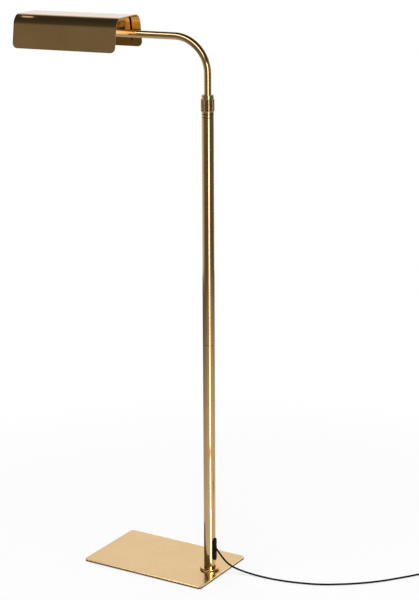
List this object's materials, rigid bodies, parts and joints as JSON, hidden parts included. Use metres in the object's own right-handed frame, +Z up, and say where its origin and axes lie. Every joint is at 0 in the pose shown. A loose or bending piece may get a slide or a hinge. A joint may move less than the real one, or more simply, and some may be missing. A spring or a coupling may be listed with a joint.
{
  "type": "floor lamp",
  "caption": "Slim brass reading floor lamp: flat base plate, round column, height-adjustable swing arm held by a knurled clamp nut, and a folded trough shade that turns on the arm.",
  "frame": {"origin": "on the floor, on the column's axis, at the underside of the base's felt", "axes": "+Z up along the column; -X along the base plate's long side, the way the arm reaches; +X is the side where the cord comes out"},
  "size_m": [0.9243, 0.3463, 1.1798],
  "materials": {
    "satin_brass": "satin brass with a fine vertical grain, slightly aged",
    "plate_brass": "pale brushed brass",
    "arm_brass": "polished brass",
    "shade_brass": "satin aged brass outside",
    "reflector_brass": "bright golden brass",
    "inner_brass": "plain turned or pressed brass",
    "steel": "zinc plated",
    "felt": "dense dark felt",
    "nylon": "natural nylon",
    "fibre": "vulcanised fibre",
    "black_rubber": "matte black",
    "black_plastic": "matte black",
    "porcelain": "glazed white insulator",
    "pin_metal": "nickel plated",
    "glass": "clear glass",
    "filament": "phosphor coated light filaments on a glass stem"
  },
  "bodies": {
    "stand": {"base_plate": "plate_brass", "base_felt": "felt", "foot_flange": "satin_brass", "foot_plug": "steel", "foot_screw": "steel", "lower_column": "satin_brass", "column_coupler": "inner_brass", "upper_column": "satin_brass", "column_ferrule": "satin_brass", "split_collet": "nylon", "cord_grommet": "black_rubber", "column_lead": "black_rubber", "mains_cord": "black_rubber", "cord_coil": "black_rubber", "cord_tie": "black_plastic", "cord_tail": "black_rubber", "plug_boot": "black_rubber", "plug_body": "black_plastic", "plug_pins": "pin_metal"},
    "clamp": {"clamp_nut": "satin_brass"},
    "riser": {"stem_guide": "nylon"},
    "arm": {"arm_tube": "arm_brass", "guide_collar": "inner_brass", "stem_stop": "inner_brass", "arm_lead": "black_rubber", "swivel_hub": "arm_brass", "swivel_nipple": "inner_brass", "friction_washers": "fibre", "spring_washer": "steel", "swivel_nut": "inner_brass", "holder_cap": "inner_brass", "holder_shell": "inner_brass", "holder_core": "porcelain", "screw_shell": "inner_brass", "bulb_cap": "pin_metal", "bulb_glass": "glass", "bulb_filaments": "filament"},
    "shade": {"shade_shell": "shade_brass", "reflector": "reflector_brass", "shade_bracket": "inner_brass", "shade_studs": "steel", "stud_nuts": "steel"},
    "key": {"switch_key": "black_plastic"}
  },
  "joints": [
    {"name": "clamp_turn", "type": "hinge", "parent": "stand", "child": "clamp", "pos_m": [0, 0, 1.0123], "axis": [0, 0, 1], "range_deg": [0, 180]},
    {"name": "height", "type": "slide", "parent": "stand", "child": "riser", "axis": [0, 0, 1], "range_m": [-0.035, 0.3], "deforming": ["column_lead"]},
    {"name": "swivel", "type": "hinge", "parent": "riser", "child": "arm", "pos_m": [0, 0, 1.0123], "axis": [0, 0, 1], "range_deg": [-170, 170]},
    {"name": "shade_tilt", "type": "hinge", "parent": "arm", "child": "shade", "pos_m": [-0.21954, -0.0254, 1.1446], "axis": [-0.9934, -0.1149, 0], "range_deg": [-90, 90]},
    {"name": "switch_turn", "type": "hinge", "parent": "arm", "child": "key", "pos_m": [-0.24238, -0.02804, 1.1446], "axis": [0, 0, 1], "range_deg": [0, 90]}
  ]
}
